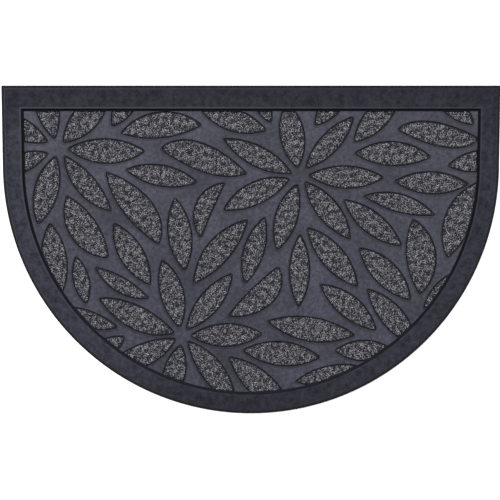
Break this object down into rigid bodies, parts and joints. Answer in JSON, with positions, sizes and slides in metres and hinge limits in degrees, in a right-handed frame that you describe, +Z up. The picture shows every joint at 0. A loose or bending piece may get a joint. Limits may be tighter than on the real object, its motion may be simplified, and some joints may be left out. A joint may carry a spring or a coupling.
{
  "type": "half-round rubber and carpet doormat",
  "caption": "Half-round doormat: a moulded rubber mat with a raised rim and groove, and leaf-shaped windows that show a needle-punch carpet.",
  "frame": {"origin": "centre of the mat's bounding box, on its underside", "axes": "+X along the flat edge, +Y from the round end towards the flat edge, +Z up out of the tread side"},
  "size_m": [0.9, 0.6, 0.008],
  "materials": {
    "moulded rubber": "satin charcoal rubber, smooth on the field and finely grained on the rim",
    "needle-punch carpet": "short rough pile, speckled in light and dark grey"
  },
  "bodies": {
    "root": {"rubber_moulding": "moulded rubber", "carpet_panel": "needle-punch carpet"}
  },
  "joints": []
}
